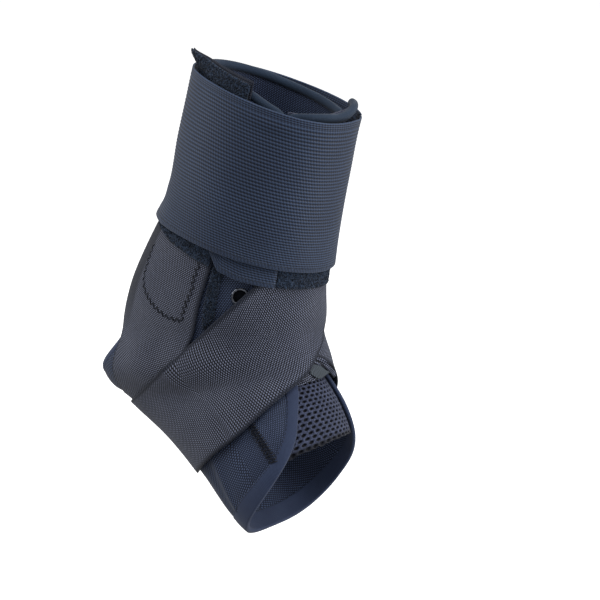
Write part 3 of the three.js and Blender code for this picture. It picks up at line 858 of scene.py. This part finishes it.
def make_box_stitches():
    """Zigzag box that sews the rising strap to the boot."""
    box = [
        [(4.20, 131), (4.45, 129.5), (4.85, 126), (5.10, 120)],
        [(5.10, 120), (5.43, 104), (5.53, 98), (5.57, 91)],
        [(5.57, 90.5), (5.30, 90), (4.73, 86.5), (4.45, 87), (3.85, 86)],
    ]
    seam("box_stitches", box, THREAD, "strap_under", rising_strap_level, pitch=2.0, swing=1.5)


def make_crook():
    """Folded strap ends in the crook of the instep: pleats, the wedge under them and a frayed tab."""
    shares = shares_with_edges(24, 0.02)
    pleat_edges = np.array([
        (7.22, -3, 7.74, 1),
        (7.55, -9, 7.90, -7),
        (7.92, -15, 8.14, -15),
        (8.30, -21, 8.46, -21),
        (8.50, -27, 8.74, -27),
    ])
    grid = strip_grid(pleat_edges, 40, shares)
    ridges = np.abs(np.sin(math.pi * 3 * shares)) ** 0.7
    level = 2.9 + 1.3 * (1 - shares) + 0.95 * stand_off(*grid)
    heights = (level - 1.6, level + 1.3 * (ridges - 1))
    places = crosswise(weave_places(*grid))
    # Painted shade: the strap's colour goes dark in the valleys between the pleats
    painted_crease_shade = 1 - ridges
    cloth_piece("strap_pleats", grid, heights, STRAP_CLOTH, "strap_under", False, 0.2, places, painted_crease_shade)
    wedge_edges = np.array([
        (8.55, 23, 7.95, 28),
        (8.51, 12, 7.75, 16),
        (8.47, 0, 7.50, 6),
        (8.42, -10, 7.50, -6),
        (8.34, -19, 7.60, -16),
    ])
    grid = strip_grid(wedge_edges, 40, shares)
    level = 1.0 + 0.35 * np.cos(2 * math.pi * shares * 3) + 0.3 * stand_off(*grid)
    places = crosswise(weave_places(*grid))
    cloth_piece("strap_wedge", grid, (level - 0.8, level), STRAP_CLOTH, "strap_under", False, 0.3, places)
    tab_edges = np.array([
        (8.16, 7, 7.85, 4),
        (8.47, 0, 7.66, -2),
        (8.45, -8, 7.96, -9),
        (8.40, -16, 8.28, -16),
        (8.44, -23, 8.36, -22),
    ])
    station, turn = strip_grid(tab_edges, 34, shares)
    ragged = random.normal(0, 0.5, (1, station.shape[1])) * np.linspace(0, 1, 34)[:, None] ** 6
    level = 2.1 + 0.7 * stand_off(station, turn)
    tab = (station, turn + ragged)
    cloth_piece("strap_tab", tab, (level - 0.7, level), TAB_CLOTH, "strap_under", False, 0.3)


# Boot cloth

def body_grid():
    """Places of the boot cloth and its cells. Its edges lie hidden under the edge tapes."""
    reach = HEEL_TAPE["half_station"] - 0.06
    wide = HEEL_TAPE["half_turn"] - 3.0
    opening = HEEL_HOLE["station"] - reach * np.cos(np.linspace(0, math.pi, 41))
    upper = np.linspace(0.0, 4.75, 40)
    lower = np.concatenate([np.linspace(opening[-1] + 0.04, 10.7, 44), np.linspace(10.76, 11.3, 14)])
    rows = np.concatenate([upper, opening, lower])
    shares = np.linspace(0, 1, 56)
    tape = read_table(FRONT_TAPE, np.linspace(0, 14, 500))
    front = np.interp(rows, *between(tape, 0.65))
    away = np.clip((rows - HEEL_HOLE["station"]) / reach, -1, 1)
    back = 180 - wide * np.sqrt(1 - away**2)
    outer = front[:, None] + (back - front)[:, None] * shares
    station = np.repeat(rows[:, None], len(shares), 1)
    places, sides = [], []
    for side in (1, -1):
        turn = outer if side > 0 else 360 - outer - inner_more(station) * (1 - shares)
        top = np.interp(turn[0], BODY_TOP_TURNS, BODY_TOP_STATIONS) + 0.05
        shifted = station + top[None, :] * clamp((BODY_TOP_FADE - station) / BODY_TOP_FADE)
        places.append(np.stack([shifted.ravel(), turn.ravel()]))
        sides.append(np.arange(station.size).reshape(station.shape) + (0 if side > 0 else station.size))
    all_station, all_turn = np.concatenate(places, 1)
    meets = np.abs(back - 180) < 1e-6
    sides[1][meets, -1] = sides[0][meets, -1]
    cells = []
    for side, ids in zip((1, -1), sides):
        a, b, c, d = ids[:-1, :-1], ids[1:, :-1], ids[1:, 1:], ids[:-1, 1:]
        cells.append(np.stack([a, d, c, b] if side > 0 else [a, b, c, d], -1).reshape(-1, 4))
    cells = np.concatenate(cells)
    used = np.unique(cells)
    index = np.full(len(all_station), -1)
    index[used] = np.arange(len(used))
    return all_station[used], all_turn[used], index[cells]


def inner_more(station):
    """How much further round the boot's edge lies on the inner side of the instep, in degrees."""
    return INNER_TURN_MORE["turn"] * hump(station, INNER_TURN_MORE["station"], INNER_TURN_MORE["span"])


def sole_swell(station, turn):
    """The boot bulges a little under the sole."""
    side = np.abs(outer_turn(turn))
    return 1.5 * hump(side, 140, 32) * ease((station - 9.4) / 0.6) * ease((12.2 - station) / 0.6)


def body_relief(station, turn):
    """Dents and creases of the boot cloth between the crossing strap and the tape."""
    side = outer_turn(turn)
    dart = ease((station - 9.5) / 0.3) * ease((11.2 - station) / 0.3)
    hollow = hump(side, 75, 5) * hump(station, 10.15, 0.5)
    lip = hump(side, 65, 2.6) * dart
    crease_turn = 106 + (station - 9.8) * 8.5
    fold = ease((station - 9.6) / 0.4) * ease((11.5 - station) / 0.3)
    crease = 0.8 * hump(side, crease_turn, 3.5) - 0.6 * hump(side, crease_turn + 9, 5)
    ripple = 0.16 * np.sin(side * 0.9 + station * 9) * hump(side, 76, 12)
    heel = 2.2 * hump(np.abs(side), 160, 16) * hump(station, 7.55, 0.3)
    swell = heel + sole_swell(station, turn)
    return 0.6 * lip * dart - 1.4 * hollow + (crease + ripple) * fold + swell


def make_body():
    station, turn, cells = body_grid()
    lift = body_relief(station, turn)
    points, faces, source = closed_cloth(station, turn, cells, BODY[0] + lift * 0.5, BODY[1] + lift, 0.3)
    across = outer_turn(turn) * WEAVE_DEGREE
    sections = np.arange(len(SECTIONS))
    drops = lengths_along(skin_point(sections.astype(float), np.full(len(sections), WEAVE_TURN)), 0)
    drop = np.interp(station, sections, drops)
    first = drop * math.cos(WEAVE_SLANT) + across * math.sin(WEAVE_SLANT)
    second = across * math.cos(WEAVE_SLANT) - drop * math.sin(WEAVE_SLANT)
    places = np.stack([first, second, 0 * drop], -1)
    marks = np.zeros(len(points))
    node = "boot_body"
    boot = add_piece("boot_cloth", points, faces, BOOT_CLOTH, node, True, places[source], marks)


def make_body_roll():
    """Padded top edge of the boot."""
    turns = np.linspace(49.5, 310.5, 40)
    top = np.interp(turns, BODY_TOP_TURNS, BODY_TOP_STATIONS)
    same = np.ones_like(turns)
    table = np.stack([turns, top + 0.065, 0.5 * same, 2.2 * same, 2.6 * same], -1)
    rolled_edge("boot_top_roll", table, 200, ROLL_CLOTH, "boot_body")


def make_front_tape():
    shares = shares_with_edges(10, 0.04)
    station, turn = strip_grid(FRONT_TAPE, 170, shares)
    other_station = station[:-1][::-1]
    other_turn = 360 - (turn + inner_more(station))[:-1][::-1]
    grid = (np.vstack([station, other_station]), np.vstack([turn, other_turn]))
    crown = 0.3 * np.sin(np.pi * shares)
    swell = sole_swell(*grid)
    heights = (TAPE[0] + swell * 0.5, TAPE[1] + crown + swell)
    node = "front_edge_tape"
    tape = cloth_piece("front_binding", grid, heights, TAPE_CLOTH, node, True, 0.7)


def make_tape_stitches():
    line = strip_grid(FRONT_TAPE, 60, np.array([0.95]))
    outer = np.stack([line[0][:, 0], line[1][:, 0]], -1)
    inner = outer * (1, -1)
    inner[:, 1] -= inner_more(inner[:, 0])

    def level(station, turn):
        return TAPE[1] - 0.05 + sole_swell(station, turn)

    paths = [outer, inner]
    node = "front_edge_tape"
    seam("binding_stitches", paths, THREAD, node, level, pitch=2.3, share=0.8, radius=0.2, rise=0.12)


def heel_ring(half_station, half_turn, count=160):
    angle = np.linspace(0, 2 * math.pi, count, endpoint=False)
    return HEEL_HOLE["station"] - half_station * np.cos(angle), 180 + half_turn * np.sin(angle)


def make_heel_tape():
    shares = shares_with_edges(9, 0.05)
    inner = heel_ring(HEEL_HOLE["half_station"], HEEL_HOLE["half_turn"])
    outer = heel_ring(HEEL_TAPE["half_station"], HEEL_TAPE["half_turn"])
    grid = between(np.stack([*outer, *inner], -1)[:, None], shares)
    crown = 0.3 * np.sin(np.pi * shares)
    heights = (np.full_like(shares, TAPE[0]), TAPE[1] - 0.1 + crown)
    node = "heel_edge_tape"
    tape = cloth_piece("heel_binding", grid, heights, TAPE_CLOTH, node, True, 0.6, joined=True)


def make_dart_stitches():
    """Dense zigzag that closes the boot's side dart, with rough little knots of thread."""
    path = [(9.60, 68), (10.38, 66), (11.15, 64.5)]
    runs = seam_runs(path, BODY[1] + 0.45, pitch=0.95, swing=1.9, rise=0.5)
    path = [(9.66, 71), (10.38, 69.5), (11.05, 68)]
    runs += seam_runs(path, BODY[1] + 0.2, pitch=1.3, swing=0.9, share=0.9, rise=0.5)
    points, faces = thread_tubes(runs, 0.3)
    add_piece("dart_stitches", points, faces, THREAD, "boot_body")


# Tongue

def tongue_lift(station, turn):
    """The tongue's top corner on the inner side leans away from the leg, against the cuff."""
    above = clamp((TONGUE_CURL["station"] - station) / TONGUE_CURL["rise"])
    inward = clamp((TONGUE_CURL["start"] - turn) / (TONGUE_CURL["start"] - TONGUE_CURL["end"]))
    return TONGUE_CURL["lift"] * above * inward


def tongue_place(along, across):
    """Station and turn of a place on the tongue, both shares from 0 to 1."""
    edges = read_table(TONGUE_EDGES, along * (len(TONGUE_EDGES) - 1))
    station, turn = between(edges, across)
    low = clamp((along - 0.6) / 0.4)
    return station + TONGUE_LOW_BULGE * low * np.sin(np.pi * across), turn


def tongue_lines(rows, columns):
    """Shares along and across at each half cell, evenly spaced in millimetres down the foot."""
    even = np.linspace(0, 1, 400)
    run = lengths_along(cloth_point(*tongue_place(even, np.full(400, 0.5)), 0.0), 0)
    return np.interp(np.linspace(0, run[-1], rows + 1), run, even), np.linspace(0, 1, columns + 1)


def make_tongue():
    """Spacer mesh: cells in staggered rows, each a rim of yarn round a deep round hole."""
    rows, columns = 2 * TONGUE_HOLES["rows"], 2 * TONGUE_HOLES["columns"]
    steps = [(-1, -1), (-1, 0), (-1, 1), (0, 1), (1, 1), (1, 0), (1, -1), (0, -1)]
    spots, marks, faces = [], [], []
    face_ids, back_ids = {}, {}

    def lay(row, column, height, mark):
        spots.append((row, column, height))
        marks.append(mark)
        return len(spots) - 1

    def rim(corners):
        """Numbers of the corners on the face, made where they are new, with others behind them."""
        for corner in corners:
            if corner not in face_ids:
                knot = 0.1 if corner[0] % 2 == 0 and corner[1] % 2 == 0 else 0.0
                face_ids[corner] = lay(*corner, TONGUE[1] - 0.1 + knot, 0.0)
                back_ids[corner] = lay(*corner, TONGUE[0], 0.3)
        faces.append(tuple(back_ids[corner] for corner in reversed(corners)))
        return [face_ids[corner] for corner in corners]

    for row in range(1, rows, 2):
        shift = row // 2 % 2
        for column in range(1 + shift, columns, 2):
            rings = [rim([(row + down, column + aside) for down, aside in steps])]
            # Rings down each hole: size, how deep it sinks and its mark, which paints shade darker further
            # down
            for size, sunk, mark in ((0.77, 0.22, 0.12), (0.67, 0.55, 0.85), (0.58, 1.4, 1.0)):
                ring = []
                for down, aside in steps:
                    spread = size / math.hypot(down, aside)
                    ring.append(lay(row + down * spread, column + aside * spread, TONGUE[1] - sunk, mark))
                rings.append(ring)
            for first, second in zip(rings, rings[1:]):
                for step in range(8):
                    after = (step + 1) % 8
                    faces.append((first[step], first[after], second[after], second[step]))
            faces.append(tuple(rings[-1]))
        if shift:
            for a, b in ((0, 1), (columns - 1, columns)):
                middle = [(row, b), (row, a)]
                half = [(row - 1, a), (row - 1, b), middle[0], (row + 1, b), (row + 1, a), middle[1]]
                faces.append(tuple(rim(half)))
    border = [(0, column) for column in range(columns)]
    border += [(row, columns) for row in range(rows)]
    border += [(rows, column) for column in range(columns, 0, -1)]
    border += [(row, 0) for row in range(rows, 0, -1)]
    for here, there in zip(border, border[1:] + border[:1]):
        faces.append((face_ids[there], face_ids[here], back_ids[here], back_ids[there]))
    along_lines, across_lines = tongue_lines(rows, columns)
    row, column, height = np.array(spots).T
    along = np.interp(row, np.arange(rows + 1), along_lines)
    across = np.interp(column, np.arange(columns + 1), across_lines)
    station, turn = tongue_place(along, across)
    ragged = random.normal(0, 0.03, columns + 1)
    station = station + np.interp(column, np.arange(columns + 1), ragged) * (row > rows - 0.5)
    marks = np.maximum(marks, 0.9 * ease((row - rows + 3) / 2))
    points = cloth_point(station, turn, height + tongue_lift(station, turn))
    piece = add_piece("tongue_mesh", points, faces, MESH_CLOTH, "tongue", True, 0 * points, marks)


def make_tongue_roll():
    """Padded top of the tongue, which leans away from the leg at its inner corner."""
    rolled_edge("tongue_top_roll", TONGUE_ROLL, 140, ROLL_CLOTH, "tongue")


# Cuff

def no_lift(station, turn):
    return 0 * turn


def elastic_cloth(name, node, edges, layer, lift, counts, rim):
    """A turn of ribbed elastic from the turns, top stations and low stations of its edges. Its cords
    keep their distance from both."""
    along, columns = counts
    shares = shares_with_edges(columns, 0.004)
    station, turn = band_grid(*edges, along, shares)
    run = lengths_along(cloth_point(station, turn, layer[1]), 0)[:, [columns // 2]]
    down = shares * CUFF_WIDTH + 0 * turn
    edge = np.minimum(down, CUFF_WIDTH - down)
    selvedge = ease((SELVEDGE_WIDTH - edge) / 0.6)
    cords = 0.5 + 0.5 * np.cos(2 * math.pi * down / RIB_PITCH)
    relief = CORD_RELIEF * (cords * (1 - selvedge) + 0.6 * selvedge)
    lifted = lift(station, turn)
    heights = (layer[0] + lifted, layer[1] - 0.3 + relief + lifted)
    places = np.stack([run + 0 * shares, down, down * (1 + selvedge)], -1)
    cloth = cloth_piece(name, (station, turn), heights, ELASTIC, node, True, rim, places)


def cuff_lift(station, turn):
    """The outer turn is tucked in at its low rear corner, and swells over what lies under it."""
    side = outer_turn(turn)
    tuck = -1.6 * hump(side, 146, 20) * ease((station - 2.95) / 0.6)
    swell = 0.5 * np.sin(station * 2.3 + 0.6) * hump(side, 120, 40) * ease((station - 0.86) / 0.5)
    brow = 0.9 * hump(side, 58, 22) * hump(station, 1.06, 0.12)
    right = 0.6 * hump(side, -32, 26) * ease((station - 0.9) / 0.8)
    return 0.6 + tuck + swell + brow + right


def make_cuff():
    edges = (CUFF_EDGE_TURNS, CUFF_TOP_STATIONS, CUFF_LOW_STATIONS)
    elastic_cloth("cuff_cloth", "cuff_elastic", edges, OUTER_CUFF, cuff_lift, (190, 240), 0.5)


def make_first_turn():
    tops = [FIRST_TURN_TOP] * len(FIRST_TURN_LOW_TURNS)
    edges = (FIRST_TURN_LOW_TURNS, tops, FIRST_TURN_LOW_STATIONS)
    elastic_cloth("first_turn_cloth", "cuff_first_turn", edges, FIRST_TURN, no_lift, (120, 190), 0.4)


# Loop pads

def fuzzy(grid, layer, amount):
    """Heights of a brushed face: small tufts at random."""
    tufts = random.random(grid[0].shape)
    return np.full(grid[0].shape, layer[0]), layer[1] + amount * (tufts - 0.4)


def pile_runs(turns, tops, lows, count, face, lift):
    """Small loops of pile that stand on a pad's face, each bent over in its own direction."""
    turn = random.uniform(*turns, count)
    top = np.interp(turn, turns, tops)
    station = top + (np.interp(turn, turns, lows) - top) * random.random(count)
    base = cloth_point(station, turn, face + lift(station, turn))
    normal = skin_normal(station, turn)
    aside = unit(np.cross(normal, np.array([0.2, 0.3, 0.93])))
    other = np.cross(normal, aside)
    heading = random.uniform(0, 2 * math.pi, count)[:, None]
    way = aside * np.cos(heading) + other * np.sin(heading)
    length = random.uniform(0.5, 1.1, count)[:, None, None]
    rise = random.uniform(0.25, 0.65, count)[:, None, None]
    share = np.array([0, 0.33, 0.67, 1])[None, :, None]
    bow = 4 * share * (1 - share) * rise - 0.12
    return base[:, None] + way[:, None] * length * (share - 0.5) + normal[:, None] * bow


def loop_pad(name, node, edges, counts, layer, lift, zones, rim):
    """A brushed pad from the turns, tops and lows of its edges, with loops of pile where it shows."""
    grid = band_grid(*edges, counts[0], shares_with_edges(counts[1]))
    under, over = fuzzy(grid, layer, 0.6)
    raised = lift(*grid)
    cloth_piece(name, grid, (under + raised, over + raised), LOOPS, node, True, rim)
    runs = []
    for tops, lows, count in zones:
        runs.extend(pile_runs(edges[0], tops, lows, count, layer[1], lift))
    points, faces = thread_tubes(runs, 0.11, 3)
    add_piece(name + "_pile", points, faces, LOOPS, node)


def pulled_in(station, turn):
    """The loop band lies closer to the leg at its inner end."""
    return -1.3 * hump(turn, LOOP_BAND_TURNS[0], 14) * ease((station - 3.5) / 0.5)


def make_loop_pads():
    tops, lows = ([station] * 2 for station in LOOP_BAND_STATIONS)
    zones = [([3.4] * 2, lows, 1700)]
    edges = (LOOP_BAND_TURNS, tops, lows)
    loop_pad("cuff_loops", "cuff_loop_band", edges, (80, 110), FIRST_TURN, pulled_in, zones, 0.4)
    edges = (SIDE_PAD_TURNS, SIDE_PAD_TOPS, SIDE_PAD_LOWS)
    zones = [(SIDE_PAD_TOPS, SIDE_PAD_LOWS, 1000)]
    loop_pad("side_loops", "side_loop_pad", edges, (12, 60), SIDE_PAD, no_lift, zones, 0.4)
    edges = (STRAP_PAD_TURNS, STRAP_PAD_TOPS, STRAP_PAD_LOWS)
    zones = [(STRAP_PAD_TOPS, [1.0] * 2, 1900), ([3.35] * 2, STRAP_PAD_LOWS, 1500)]
    node = "strap_loop_pad"
    loop_pad("strap_end_loops", node, edges, (90, 130), STRAP_PAD, rising_strap_relief, zones, 0.5)


def make_cuff_stitches():
    column = [(1.02, 10), (1.18, 6), (1.5, 2.5), (1.85, 2), (2.6, 1), (3.4, 2)]
    top_bar = [(0.95, 12), (0.955, 0), (0.98, -14), (0.99, -26)]
    low_bar = [(3.42, 2), (3.42, -8), (3.42, -18), (3.42, -30)]
    level = OUTER_CUFF[1] - 0.02
    node = "cuff_elastic"
    seam("cuff_end_stitches", [column], CUFF_THREAD, node, level, pitch=3.2, swing=1.5, radius=0.19)
    fine = {"pitch": 0.75, "swing": 1.3, "radius": 0.11, "rise": 0.15}
    seam("cuff_bar_stitches", [top_bar, low_bar], CUFF_THREAD, node, level, **fine)


# Eyelet

def disc_rings(middle, side, up, out, profile, count):
    """Rings of points round a middle, from rows of radius and height."""
    angle = np.arange(count)[:, None] * 2 * math.pi / count
    spokes = side * np.cos(angle) + up * np.sin(angle)
    return np.concatenate([middle + spokes * radius + out * height for radius, height in profile])


def make_eyelet():
    station, turn = (np.array(float(value)) for value in EYELET_PLACE)
    middle = cloth_point(station, turn, BODY[1])
    out = skin_normal(station, turn)
    side = unit(np.cross(out, (0, 0, 1.0)))
    up = np.cross(side, out)
    profile = [(3.7, -0.9), (3.7, 0.3), (3.85, 0.7), (4.2, 0.95), (4.6, 1.0)]
    profile += [(4.95, 0.8), (5.15, 0.45), (5.15, 0.1), (4.6, 0.0), (4.0, -0.9)]
    count = 48
    points = disc_rings(middle, side, up, out, profile, count)
    ring, step = np.indices((len(profile), count)).reshape(2, -1)
    after = (step + 1) % count
    beyond = (ring + 1) % len(profile) * count
    faces = np.stack([ring * count + step, ring * count + after, beyond + after, beyond + step], -1)
    add_piece("eyelet_ring", points, facing_out(points, faces), STEEL, "eyelet", True)
    # The disc under the ring is painted shade: a near-black sheet where the eyelet's hole lies in shadow
    disc = [(0.01, 0.15), (3.75, 0.12), (3.75, -0.3), (0.01, -0.3)]
    lining = disc_rings(middle, side, up, out, disc, count)
    faces = facing_out(lining, tube_faces(0, len(disc), count))
    add_piece("eyelet_painted_shade", lining, faces, HOLE_SHADE, "eyelet")


make_body()
make_body_roll()
make_front_tape()
make_tape_stitches()
make_heel_tape()
make_dart_stitches()
make_tongue()
make_tongue_roll()
make_straps()
make_box_stitches()
make_crook()
make_first_turn()
make_loop_pads()
make_cuff()
make_cuff_stitches()
make_eyelet()
